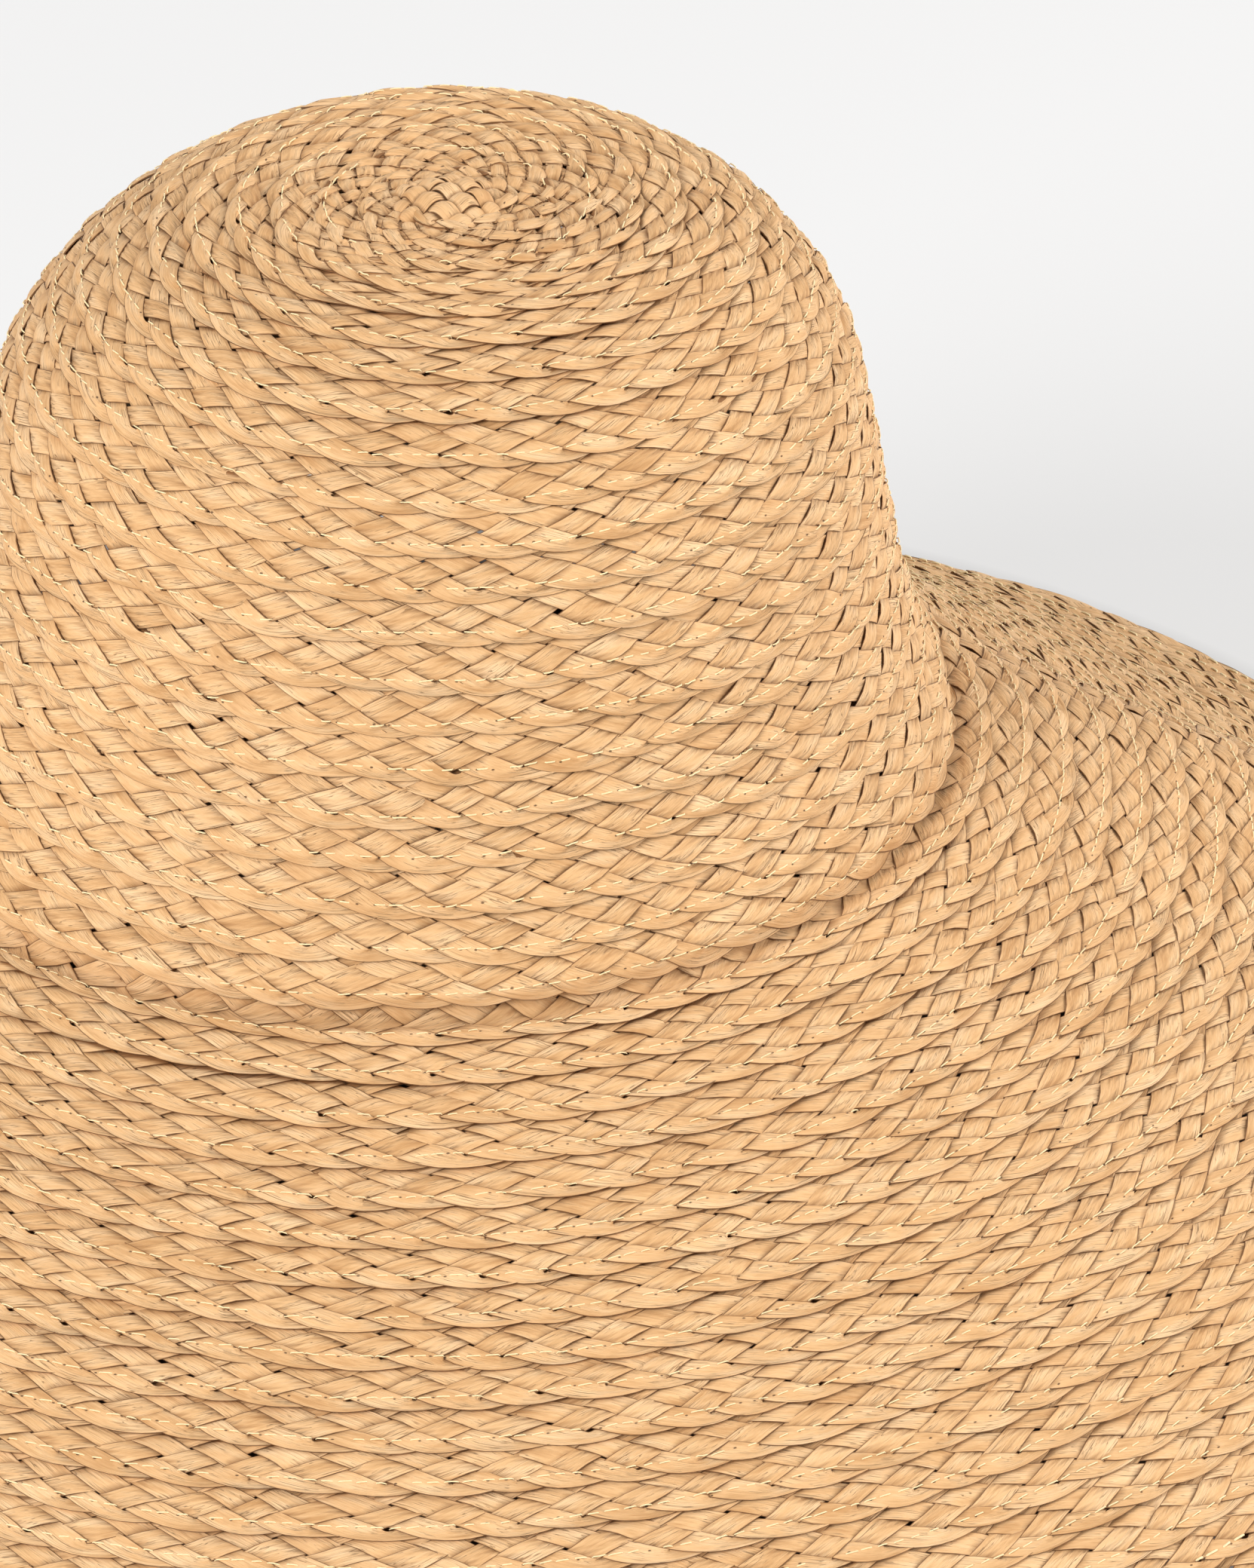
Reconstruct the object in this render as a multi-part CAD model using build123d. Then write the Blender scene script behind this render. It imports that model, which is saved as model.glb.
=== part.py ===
from build123d import *
import math
import os
from functools import lru_cache

# Wide-brimmed sun hat of flat five-strand straw plait, sewn edge over edge in one
# long spiral.
# Millimetres and degrees.  +Z is up the crown, -Y is the front of the hat.
# The origin is the centre of the head opening, where the crown meets the brim.
# Places on the hat are given by an arc, measured along the outside from the tip of
# the crown, an azimuth about +Z, and a lift, measured outwards from the surface.

# The plait and the way it is laid
PLAIT_WIDTH = 12.0  # five strands
PLAIT_THICKNESS = 1.2
PLAIT_STEP = 7.6  # how much of each turn shows below the turn above it
LAP_GAP = 0.15  # air between a turn and the turn it lies on
CROWN_TURNS = 20
BRIM_TURNS = 20
FIRST_EDGE = 7.1  # arc of the plait's lower edge where the spiral starts
INNERMOST_ARC = 1.0  # the first turns are gathered in to this near the tip
SPIRAL_START = 90.0  # azimuth, at the back of the hat
TAIL_SWEEP = 45.0  # the plait's end slides under the turn before it over this angle
TIP_RADIUS = 6.0
TIP_THICKNESS = 1.1

# Crown
CROWN_ARC = FIRST_EDGE + (CROWN_TURNS + 0.5) * PLAIT_STEP
CROWN_SLOPES = ((0.0, 0), (0.2, 2), (0.4, 40.5), (0.6, 75), (0.8, 74), (1.0, 60))
CREASE_ARC = 6.0  # length over which the crown wall turns out into the brim
OVAL = 1.04  # front-to-back size of the crown over its width
LEAN_X = 9.8  # how far the tip leans off the opening's centre
LEAN_Y = 6.5

# Brim: droop below level at the crown, half way and all the way along the droop's arc
DROOP_ARC = 19 * PLAIT_STEP
SIDE_DROOP = (25, 28.5, 39)
FRONT_EXTRA_DROOP = (2, 2.5, 9)
BACK_DROOP = (41, 34.5, 24.2)
BACK_STARTS = 9.0  # the brim turns down between these azimuths, measured from each side
BACK_FULL = 30.0

# Sewing thread, a line of stitches along every turn
THREAD_WIDTH = 0.6
THREAD_HEIGHT = 0.3
THREAD_FROM_EDGE = 2.65
THREAD_CLEARANCE = 0.1

# Sweatband inside the head opening
BAND_HEIGHT = 30.0
BAND_THICKNESS = 0.8
BAND_CLEARANCE = 0.4
BAND_HEM_ARC = 1.5  # from the crease up to the band's lower edge
BAND_END_GAP = 0.4  # degrees between the band's two ends at the back
TAPE_SWEEP = 8.0
TAPE_THICKNESS = 0.5
TAPE_MARGIN = 2.0
BAND_STITCH_INSET = 3.0

# How finely the shapes are followed
ARC_STEP = 0.5
POINTS_PER_TURN = 48
ACROSS = 4  # flat facets across the plait's width


def between(low, high, share):
    return low + (high - low) * share


def along(stations, place):
    """Value at a place, straight between (place, value) stations."""
    for (a, low), (b, high) in zip(stations, stations[1:]):
        if place <= b:
            return between(low, high, max(0.0, place - a) / (b - a))
    return stations[-1][1]


def smooth(share):
    share = min(1.0, max(0.0, share))
    return share * share * (3 - 2 * share)


def brim_droop(out, azimuth):
    """Droop of the brim, out being the arc from the crown over the droop's arc."""
    front = -math.cos(math.radians(2 * azimuth))
    rise = math.sin(math.radians(azimuth))
    low, high = math.sin(math.radians(BACK_STARTS)), math.sin(math.radians(BACK_FULL))
    back = smooth((rise - low) / (high - low))
    side = [s + front * extra for s, extra in zip(SIDE_DROOP, FRONT_EXTRA_DROOP)]
    stations = [between(s, b, back) for s, b in zip(side, BACK_DROOP)]
    return along(list(zip((0.0, 0.5, 1.0), stations)), out)


def slope(arc, azimuth):
    """Slope of the hat's outside below level, in degrees."""
    crown = along(CROWN_SLOPES, arc / CROWN_ARC)
    brim = brim_droop((arc - CROWN_ARC) / DROOP_ARC, azimuth)
    return between(crown, brim, smooth((arc - CROWN_ARC) / CREASE_ARC + 0.5))


@lru_cache(maxsize=None)
def profile(azimuth):
    """Radius and height of the outside at every ARC_STEP, at one azimuth."""
    radius, height, points = 0.0, 0.0, [(0.0, 0.0)]
    for i in range(int((CROWN_ARC + (BRIM_TURNS + 1) * PLAIT_STEP) / ARC_STEP)):
        angle = math.radians(slope((i + 0.5) * ARC_STEP, azimuth))
        radius += math.cos(angle) * ARC_STEP
        height -= math.sin(angle) * ARC_STEP
        points.append((radius, height))
    return points


def on_profile(arc, azimuth):
    points = profile(azimuth)
    i = min(int(arc / ARC_STEP), len(points) - 2)
    share = arc / ARC_STEP - i
    return [between(a, b, share) for a, b in zip(points[i], points[i + 1])]


CROWN_RADIUS, CROWN_DROP = on_profile(CROWN_ARC, SPIRAL_START)
CROWN_HEIGHT = -CROWN_DROP


def place(arc, azimuth, lift):
    """Point of the hat at an arc and an azimuth, lifted off its outside."""
    azimuth = azimuth % 360
    radius, height = on_profile(arc, azimuth)
    angle = math.radians(slope(arc, azimuth))
    radius += lift * math.sin(angle)
    height += lift * math.cos(angle) + CROWN_HEIGHT
    lean = max(0.0, height) / CROWN_HEIGHT
    deep = radius + (OVAL - 1) * min(radius, CROWN_RADIUS)
    turn = math.radians(azimuth)
    return Vector(
        LEAN_X * lean + radius * math.cos(turn),
        LEAN_Y * lean + deep * math.sin(turn),
        height,
    )


def skin(rails):
    """Ruled faces from each rail to the next."""
    return [Face.make_surface_from_curves(a, b) for a, b in zip(rails, rails[1:])]


def swept(section, start, end, points):
    """Closed solid whose section, a list of outer points and a list of inner points,
    changes from start to end."""
    shares = [i / (points - 1) for i in range(points)]
    sections = [section(between(start, end, share)) for share in shares]
    outer, inner = (
        [
            Edge.make_spline([s[side][i] for s in sections], parameters=shares)
            for i in range(len(sections[0][side]))
        ]
        for side in (0, 1)
    )
    faces = skin(outer) + skin(inner) + skin([outer[0], inner[0]]) + skin([outer[-1], inner[-1]])
    for tops, bottoms in (sections[0], sections[-1]):
        for i in range(len(tops) - 1):
            top = Edge.make_line(tops[i], tops[i + 1])
            bottom = Edge.make_line(bottoms[i], bottoms[i + 1])
            faces.append(Face.make_surface_from_curves(top, bottom))
    return Solid(Shell(faces))


def spiral_azimuth(turns):
    return SPIRAL_START + 360 * turns


def edge_arc(turns):
    """Arc of the plait's lower edge after this many turns of the spiral."""
    arc = FIRST_EDGE + PLAIT_STEP * turns
    left = (CROWN_TURNS + BRIM_TURNS - turns) * 360
    return arc - PLAIT_STEP * (1 - smooth(left / TAIL_SWEEP))


def lap_lift(arc, turns):
    """Lift of the plait's outside: its upper edge dips under the turn above."""
    return -(PLAIT_THICKNESS + LAP_GAP) * (FIRST_EDGE + PLAIT_STEP * turns - arc) / PLAIT_STEP


def plait_section(turns):
    edge = edge_arc(turns)
    top = max(INNERMOST_ARC, edge - PLAIT_WIDTH)
    arcs = [between(top, edge, i / ACROSS) for i in range(ACROSS + 1)]
    azimuth = spiral_azimuth(turns)
    outer = [place(arc, azimuth, lap_lift(arc, turns)) for arc in arcs]
    inner = [place(arc, azimuth, lap_lift(arc, turns) - PLAIT_THICKNESS) for arc in arcs]
    return outer, inner


def thread_section(turns):
    """The thread lies on the plait's outermost facet, along its lower edge."""
    edge = edge_arc(turns)
    azimuth = spiral_azimuth(turns)
    facet = min(PLAIT_WIDTH, edge - INNERMOST_ARC) / ACROSS
    upper, lower = plait_section(turns)[0][-2:]
    outward = place(edge, azimuth, 1) - place(edge, azimuth, 0)
    outer, inner = [], []
    for inset in (THREAD_FROM_EDGE + THREAD_WIDTH / 2, THREAD_FROM_EDGE - THREAD_WIDTH / 2):
        foot = lower + (upper - lower) * (inset / facet) + outward * THREAD_CLEARANCE
        inner.append(foot)
        outer.append(foot + outward * THREAD_HEIGHT)
    return outer, inner


def plait_turn(number):
    return swept(plait_section, number - 1, number, POINTS_PER_TURN + 1)


def thread_turn(number, stop=0.0):
    """One turn of thread, ending short of the turn's end by a share of the turn."""
    points = round(POINTS_PER_TURN * (1 - stop)) + 1
    return swept(thread_section, number - 1, number - stop, points)


def crown_tip():
    """Folded start of the plait, a small button on top of the first turn."""
    disc = Cylinder(TIP_RADIUS, TIP_THICKNESS, align=(Align.CENTER, Align.CENTER, Align.MIN))
    disc = fillet(disc.edges().group_by(Axis.Z)[-1], TIP_THICKNESS * 0.6)
    return Pos(LEAN_X, LEAN_Y, CROWN_HEIGHT + THREAD_CLEARANCE) * disc


BAND_LIFT = -(
    (PLAIT_THICKNESS + LAP_GAP) * PLAIT_WIDTH / PLAIT_STEP + PLAIT_THICKNESS + BAND_CLEARANCE
)
BAND_ARCS = (CROWN_ARC - BAND_HEM_ARC - BAND_HEIGHT, CROWN_ARC - BAND_HEM_ARC)


def ribbon_section(arcs, lift, thickness):
    """Section of a flat ribbon that lines the wall between two arcs."""
    rows = [between(*arcs, i / ACROSS) for i in range(ACROSS + 1)]

    def section(azimuth):
        outer = [place(arc, azimuth, lift) for arc in rows]
        inner = [place(arc, azimuth, lift - thickness) for arc in rows]
        return outer, inner

    return section


def sweatband():
    start = SPIRAL_START + BAND_END_GAP / 2
    section = ribbon_section(BAND_ARCS, BAND_LIFT, BAND_THICKNESS)
    return swept(section, start, start + 360 - BAND_END_GAP, POINTS_PER_TURN + 1)


def sweatband_tape():
    """Patch that covers the sweatband's two ends at the back."""
    arcs = (BAND_ARCS[0] + TAPE_MARGIN, BAND_ARCS[1] - TAPE_MARGIN)
    lift = BAND_LIFT - BAND_THICKNESS - THREAD_CLEARANCE
    section = ribbon_section(arcs, lift, TAPE_THICKNESS)
    return swept(section, SPIRAL_START - TAPE_SWEEP / 2, SPIRAL_START + TAPE_SWEEP / 2, 5)


def sweatband_thread():
    """Line of stitches along the sweatband's lower edge, either side of the tape."""
    middle = BAND_ARCS[1] - BAND_STITCH_INSET
    arcs = (middle - THREAD_WIDTH / 2, middle + THREAD_WIDTH / 2)
    lift = BAND_LIFT - BAND_THICKNESS - THREAD_CLEARANCE
    section = ribbon_section(arcs, lift, THREAD_HEIGHT)
    start = SPIRAL_START + TAPE_SWEEP / 2 + BAND_END_GAP
    return swept(section, start, start + 360 - TAPE_SWEEP - 2 * BAND_END_GAP, POINTS_PER_TURN + 1)


def save(name, shape):
    shape.label = name
    export_step(shape, f"parts/{name}.step")


os.makedirs("parts", exist_ok=True)
save("crown_tip", crown_tip())
for number in range(1, CROWN_TURNS + 1):
    save(f"crown_turn_{number:02d}", plait_turn(number))
for number in range(1, BRIM_TURNS + 1):
    save(f"brim_turn_{number:02d}", plait_turn(CROWN_TURNS + number))
crown_threads = [thread_turn(number) for number in range(1, CROWN_TURNS + 1)]
save("crown_thread", Compound(children=crown_threads))
brim_threads = [thread_turn(CROWN_TURNS + number) for number in range(1, BRIM_TURNS)]
brim_threads.append(thread_turn(CROWN_TURNS + BRIM_TURNS, stop=TAIL_SWEEP / 360))
save("brim_thread", Compound(children=brim_threads))
save("sweatband", sweatband())
save("sweatband_tape", sweatband_tape())
save("sweatband_thread", sweatband_thread())
print("crown radius", round(CROWN_RADIUS, 1), "crown height", round(CROWN_HEIGHT, 1))
for twelfth in range(12):
    turns = CROWN_TURNS + BRIM_TURNS - 1 + twelfth / 12
    rim = place(edge_arc(turns), spiral_azimuth(turns), lap_lift(edge_arc(turns), turns))
    print("rim at", spiral_azimuth(turns) % 360, [round(v, 1) for v in rim])
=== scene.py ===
import math

import bpy
import numpy as np
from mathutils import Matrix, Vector


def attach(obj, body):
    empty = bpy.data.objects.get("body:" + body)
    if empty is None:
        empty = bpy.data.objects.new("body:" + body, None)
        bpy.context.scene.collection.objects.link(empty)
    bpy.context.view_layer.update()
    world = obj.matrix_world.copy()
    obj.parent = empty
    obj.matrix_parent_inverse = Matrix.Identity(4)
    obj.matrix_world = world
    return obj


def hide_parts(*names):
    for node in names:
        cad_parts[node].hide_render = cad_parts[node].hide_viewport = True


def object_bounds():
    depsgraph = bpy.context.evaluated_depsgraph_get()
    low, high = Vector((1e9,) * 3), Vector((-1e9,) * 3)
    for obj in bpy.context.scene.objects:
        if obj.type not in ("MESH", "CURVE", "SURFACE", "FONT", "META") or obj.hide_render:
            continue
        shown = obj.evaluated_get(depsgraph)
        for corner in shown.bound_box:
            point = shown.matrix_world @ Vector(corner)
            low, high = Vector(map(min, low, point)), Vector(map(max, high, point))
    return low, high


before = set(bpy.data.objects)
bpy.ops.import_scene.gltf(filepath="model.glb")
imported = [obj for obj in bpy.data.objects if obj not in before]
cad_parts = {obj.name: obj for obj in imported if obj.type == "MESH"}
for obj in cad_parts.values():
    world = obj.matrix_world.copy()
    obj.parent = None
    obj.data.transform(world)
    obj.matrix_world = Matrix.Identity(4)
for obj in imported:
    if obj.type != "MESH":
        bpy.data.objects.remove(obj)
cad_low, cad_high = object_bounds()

# A wide-brimmed sun hat of flat five-strand straw plait, sewn edge over edge in one
# spiral.  Shapes are worked out in millimetres and degrees, and Blender gets metres.
MM = 0.001

# The hat's shape, with the CAD part's own numbers
PLAIT_WIDTH = 12.0
PLAIT_THICKNESS = 1.2
PLAIT_STEP = 7.6
LAP_GAP = 0.15
CROWN_TURNS = 20
BRIM_TURNS = 20
FIRST_EDGE = 7.1
INNERMOST_ARC = 1.0
SPIRAL_START = 90.0
TAIL_SWEEP = 45.0
CROWN_ARC = FIRST_EDGE + (CROWN_TURNS + 0.5) * PLAIT_STEP
CROWN_SLOPES = ((0.0, 0), (0.2, 2), (0.4, 40.5), (0.6, 75), (0.8, 74), (1.0, 60))
CREASE_ARC = 6.0
OVAL = 1.04
LEAN_X = 9.8
LEAN_Y = 6.5
DROOP_ARC = 19 * PLAIT_STEP
SIDE_DROOP = (25, 28.5, 39)
FRONT_EXTRA_DROOP = (2, 2.5, 9)
BACK_DROOP = (41, 34.5, 24.2)
BACK_STARTS = 9.0
BACK_FULL = 30.0
BAND_HEIGHT = 30.0
BAND_THICKNESS = 0.8
BAND_CLEARANCE = 0.4
BAND_HEM_ARC = 1.5
BAND_END_GAP = 0.4
TAPE_SWEEP = 8.0
TAPE_THICKNESS = 0.5
TAPE_MARGIN = 2.0
BAND_STITCH_INSET = 3.0
TAPE_GAP = 0.12
BAND_STITCH_COUNT = 190
BAND_ROWS = 9
BAND_ROLL = 0.35  # how much thinner the ribbon's two edges are, each side

# The relief of the crease, which only shows in the weave.  Places are in millimetres
# out from the crease, or in turns past the crown's last turn.
CREASE_BULGE = 1.4
BULGE_PLACE = (-4.8, 3.2)  # middle and width
CREASE_GROOVE = 1.9
GROOVE_PLACE = (0.3, 1.7)
CREASE_CROWDING = 1.9  # how far the first brim turn's edge is pushed up
CROWDED_TURN = 1.5
CROWDING_ABOVE, CROWDING_BELOW = 0.75, 1.4  # turns
LOOSE_LIFT = 0.8  # how far the turn in the crease stands off the next
LOOSE_PLACE = (0.5, 0.55)

# The weave: distances along the plait are in periods, and across it in levels
STRANDS = 5
PERIOD = 10.9  # between neighbouring crossings along the plait
LEVEL = 2.36  # between rows of crossings across the plait
STRAND_WIDTH = 4.33
STRAND_PER_LEVEL = 5.94  # length of strand from one row of crossings to the next
EDGE_INSET = 0.1
SWING = 0.42  # how far a strand rises and dips as it passes over and under
HANG = 0.22  # how far the plait's edges droop
STRAW_THICKNESS = 0.28
STRAW_FILL = 0.945  # strand width over the width that would leave no gaps
CURL = 0.11  # how far a strand's sides turn down
SIDE_THINNING = 0.45
CROWN_PUFF = 0.12  # how much rounder the strands are on the crown
CROWN_PUFF_END, CROWN_PUFF_FADE = CROWN_TURNS + 2, 3  # turns
PLEAT_DEPTH = 0.05
BEND_PLEAT_DEPTH = 0.06  # more where the strand is gathered in a bend
PLEAT_SPACING = 1.6
FREE_EDGE = 5.0  # how far up the plait its lower edge can lift by itself
DIVE_START, DIVE_LENGTH = -0.9, 1.2  # where in a bend a strand goes under
HANG_START, HANG_GROWTH, HANG_FADE = -0.8, 0.4, 0.3  # where in a bend the edge droops
ACROSS = np.array([-0.5, -0.45, -0.28, 0.0, 0.28, 0.45, 0.5])
STATIONS_PER_LEVEL = 3
BEND_STATIONS = 10
STEPS_PER_TURN = 720
SURFACE_ARC_STEP = 0.5
LEAST_ARC = 0.2
STRAND_APART = 4000  # millimetres of material between one strand and the next

# The crown's tip.  Spans are in turns from the tip.
TIP_GATHER = 0.55  # the period at the tip over the usual one
GATHER_START, GATHER_SPAN = 1, 4.5
TIP_PUFF = 0.65
TIP_PUFF_SPAN = 8
TIP_SPAN = 6  # how far strands are narrower, more curled and more shaded
TIP_NARROWING = 0.10
TIP_CURL = 0.7
TIP_SHADE = 0.65
FLUSH_START, FLUSH_SPAN = 2, 3  # the first turns lie flush on the next
FLUSH_DROP = 0.85

# The shade painted on the straw: where a strand dips, in the crease, and on the upper
# side from a height up the plait on, where the turn above covers it
DIP_SHADE, DIP_FADE = 0.1, 0.4
CREASE_SHADE = 0.2
SHADED_CREASE = (0.3, 1.6)
COVER_SHADE = 1.2
COVER_START, COVER_FADE = 8.6, 0.8

# How uneven handwork is, as waves of (amount, spacing, seed).  Along the plait, a
# spacing is in periods, and along a strand it is in levels.
EDGE_WAVES = ((0.42, 2.6, 11), (0.25, 1.3, 14))
LIFT_WAVES = ((0.28, 1.9, 12),)
PULL_WAVES = ((0.12, 1.6, 15), (0.045, 0.8, 16))
ROW_WAVE, ROW_WAVE_SPACING, ROW_WAVE_SEED = 0.32, 1.2, 17
SWING_WAVES = ((0.16, 1, 1),)
WIDTH_WAVES = ((0.10, 1.4, 2), (0.03, 0.6, 9))
DRIFT_WAVES = ((0.09, 2.1, 3), (0.02, 0.7, 10))
TILT_WAVES = ((0.42, 1, 4),)
BEND_SHAPE_WAVES = ((0.13, 2.2, 5),)
BEND_LEAN = 0.12
BEND_LEAN_WAVES = ((0.16, 2.7, 8),)
TINT_WAVES = ((0.6, 1.2, 6), (0.4, 9, 7))
PLEAT_SEED = 20

# The sewing thread
STITCH_PITCH = 3.0
STITCH_INSET = 2.65
STITCH_RADIUS = 0.13
HEAVY_STITCH_RADIUS = 0.22
HEAVY_STITCH_TURNS = 2  # nearest the rim
FIRST_STITCHED_TURN = 1.8
INNER_BRIM_TURNS = 12  # whose stitches are a piece of their own
STITCH_SEED = 5
STITCH_JITTER = 0.3
STITCHES_MISSING = 0.1
STITCH_LENGTHS = (0.6, 0.95)  # over the pitch
STITCH_SLANTS = (-0.04, 0.14)
STITCH_WAVES = ((0.25, 30, 77),)
STITCH_SCATTER = 0.08
STITCH_SHARES = np.array([-0.5, -0.34, 0.0, 0.34, 0.5])
STITCH_DIPS = np.array([-0.35, 0.09, 0.13, 0.09, -0.35])
STITCH_SECTION = np.array([0.8, 1, 1, 1, 0.8])
BAND_STITCH_SHARES = np.array([-0.42, -0.3, 0.0, 0.3, 0.42])
BAND_STITCH_DIPS = np.array([0.2, -0.12, -0.2, -0.12, 0.2])
THREAD_SIDES = np.radians(np.arange(5) * 72.0)
NEEDLE_PITCH = 3.0


def between(low, high, share):
    return low + (high - low) * share


def smooth(share):
    share = np.clip(share, 0.0, 1.0)
    return share * share * (3 - 2 * share)


def wander(at, spacing, seed):
    """Smooth random wave between -1 and 1 with a new value every spacing."""
    steps = np.maximum(at, 0) / spacing
    low = np.floor(steps).astype(int)
    values = np.random.default_rng(seed).uniform(-1, 1, low.max() + 2)
    return between(values[low], values[low + 1], smooth(steps - low))


def uneven(at, waves, seed=0, start=0.0):
    """A starting value with several waves on it, each (amount, spacing, seed)."""
    for amount, spacing, own_seed in waves:
        start = start + amount * wander(at, spacing, seed + own_seed)
    return start


def hump(at, middle, width):
    return np.exp(-(((at - middle) / width) ** 2))


# The hat's surface


def brim_droop(out, azimuth):
    front = -np.cos(np.radians(2 * azimuth))
    low, high = math.sin(math.radians(BACK_STARTS)), math.sin(math.radians(BACK_FULL))
    back = smooth((np.sin(np.radians(azimuth)) - low) / (high - low))
    inner, middle, rim = (
        between(side + front * extra, behind, back)
        for side, extra, behind in zip(SIDE_DROOP, FRONT_EXTRA_DROOP, BACK_DROOP)
    )
    out = np.clip(out, 0, 1)
    inside, outside = between(inner, middle, 2 * out), between(middle, rim, 2 * out - 1)
    return np.where(out < 0.5, inside, outside)


def slope(arc, azimuth):
    crown = np.interp(arc / CROWN_ARC, *zip(*CROWN_SLOPES))
    brim = brim_droop((arc - CROWN_ARC) / DROOP_ARC, azimuth)
    return between(crown, brim, smooth((arc - CROWN_ARC) / CREASE_ARC + 0.5))


AZIMUTHS = np.arange(361.0)[:, None]
WHOLE_ARC = CROWN_ARC + (BRIM_TURNS + 1) * PLAIT_STEP
ARCS = np.arange(0.0, WHOLE_ARC, SURFACE_ARC_STEP)[None, :]
FALLS = np.radians(slope(ARCS[:, :-1] + SURFACE_ARC_STEP / 2, AZIMUTHS))
SLOPES = np.radians(slope(ARCS, AZIMUTHS))
RADII = np.pad(np.cumsum(np.cos(FALLS) * SURFACE_ARC_STEP, axis=1), ((0, 0), (1, 0)))
DROPS = np.pad(np.cumsum(np.sin(FALLS) * SURFACE_ARC_STEP, axis=1), ((0, 0), (1, 0)))


def on_surface(table, arc, azimuth):
    row = np.clip(np.mod(azimuth, 360), 0, 359.999)
    column = np.clip(arc / SURFACE_ARC_STEP, 0, table.shape[1] - 1.001)
    r, c = np.floor(row).astype(int), np.floor(column).astype(int)
    near = between(table[r, c], table[r, c + 1], column - c)
    far = between(table[r + 1, c], table[r + 1, c + 1], column - c)
    return between(near, far, row - r)


CROWN_RADIUS = float(on_surface(RADII, CROWN_ARC, SPIRAL_START))
CROWN_HEIGHT = float(on_surface(DROPS, CROWN_ARC, SPIRAL_START))


def place(arc, azimuth, lift):
    """Points of the hat, in metres, at an arc from the tip, an azimuth and a lift off
    the surface."""
    arc, azimuth, lift = np.broadcast_arrays(arc, azimuth, lift)
    angle = on_surface(SLOPES, arc, azimuth)
    radius = on_surface(RADII, arc, azimuth) + lift * np.sin(angle)
    height = CROWN_HEIGHT - on_surface(DROPS, arc, azimuth) + lift * np.cos(angle)
    lean = np.maximum(0, height) / CROWN_HEIGHT
    deep = radius + (OVAL - 1) * np.minimum(radius, CROWN_RADIUS)
    turn = np.radians(azimuth)
    x = LEAN_X * lean + radius * np.cos(turn)
    y = LEAN_Y * lean + deep * np.sin(turn)
    return np.stack([x, y, height], axis=-1) * MM


def edge_arc(turns):
    """The plait's lower edge: its arc from the tip after so many turns."""
    left = (CROWN_TURNS + BRIM_TURNS - turns) * 360
    return FIRST_EDGE + PLAIT_STEP * turns - PLAIT_STEP * (1 - smooth(left / TAIL_SWEEP))


# The plait's path along the middle of what shows, in millimetres and in periods of
# the weave, which is gathered up tightly at the tip
TURNS = np.arange((CROWN_TURNS + BRIM_TURNS) * STEPS_PER_TURN + 1) / STEPS_PER_TURN
VISIBLE_MIDDLE = place(edge_arc(TURNS) - PLAIT_STEP / 2, SPIRAL_START + 360 * TURNS, 0)
RUN = np.linalg.norm(np.diff(VISIBLE_MIDDLE, axis=0), axis=1) / MM
GATHER = between(TIP_GATHER, 1, smooth((TURNS[1:] - GATHER_START) / GATHER_SPAN))
DISTANCE = np.concatenate([[0], np.cumsum(RUN)])
ALONG = np.concatenate([[0], np.cumsum(RUN / (PERIOD * GATHER))])


def crease_relief(arc):
    """The last crown turn bulges over a groove at the crease."""
    out = arc - CROWN_ARC
    return CREASE_BULGE * hump(out, *BULGE_PLACE) - CREASE_GROOVE * hump(out, *GROOVE_PLACE)


def crowded_edge(turns):
    """The lower edge's arc from the tip, with the turns crowded just below the crease."""
    past = turns - CROWN_TURNS - CROWDED_TURN
    spread = np.where(past < 0, CROWDING_ABOVE, CROWDING_BELOW)
    return edge_arc(turns) - CREASE_CROWDING * hump(past, 0, spread)


def pull(along):
    """How far uneven tension pulls the weave along the plait, in periods."""
    return uneven(along, PULL_WAVES)


def on_plait(along, across, rise):
    """Points at a distance along the plait, in periods, up from its lower edge, and
    above the middle of its thickness."""
    turns = np.interp(along, ALONG, TURNS)
    edge = crowded_edge(turns)
    squeeze = (edge - np.maximum(INNERMOST_ARC, edge - PLAIT_WIDTH)) / PLAIT_WIDTH
    across = across * (1 - (1 - squeeze) * np.clip(across / PLAIT_WIDTH, 0, 1))
    arc = edge - across + uneven(along, EDGE_WAVES)
    laps = (FIRST_EDGE + PLAIT_STEP * turns - arc) / PLAIT_STEP
    lift = -(PLAIT_THICKNESS + LAP_GAP) * laps - PLAIT_THICKNESS / 2 + rise
    lift = lift + crease_relief(arc) + uneven(along, LIFT_WAVES)
    # The first turns lie flush, and the one in the crease stands off the next
    outer = np.clip(1 - across / FREE_EDGE, 0, 1)
    flush = 1 - smooth((turns - FLUSH_START) / FLUSH_SPAN)
    loose = hump(turns - CROWN_TURNS, *LOOSE_PLACE)
    lift = lift + outer * (LOOSE_LIFT * loose - FLUSH_DROP * flush)
    return place(np.maximum(arc, LEAST_ARC), SPIRAL_START + 360 * turns, lift)


# Meshes


def tube_faces(rings, around, first):
    """Faces of a closed tube: quads between its rings, and a cap at each end."""
    ring = first + around * np.arange(rings - 1)[:, None]
    here = np.arange(around)[None, :]
    there = (here + 1) % around
    above = ring + around
    quads = np.stack([ring + here, ring + there, above + there, above + here], -1)
    start = first + np.arange(around)[::-1]
    end = first + around * (rings - 1) + np.arange(around)
    return [quads.reshape(-1, 4), start[None, :], end[None, :]]


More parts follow.
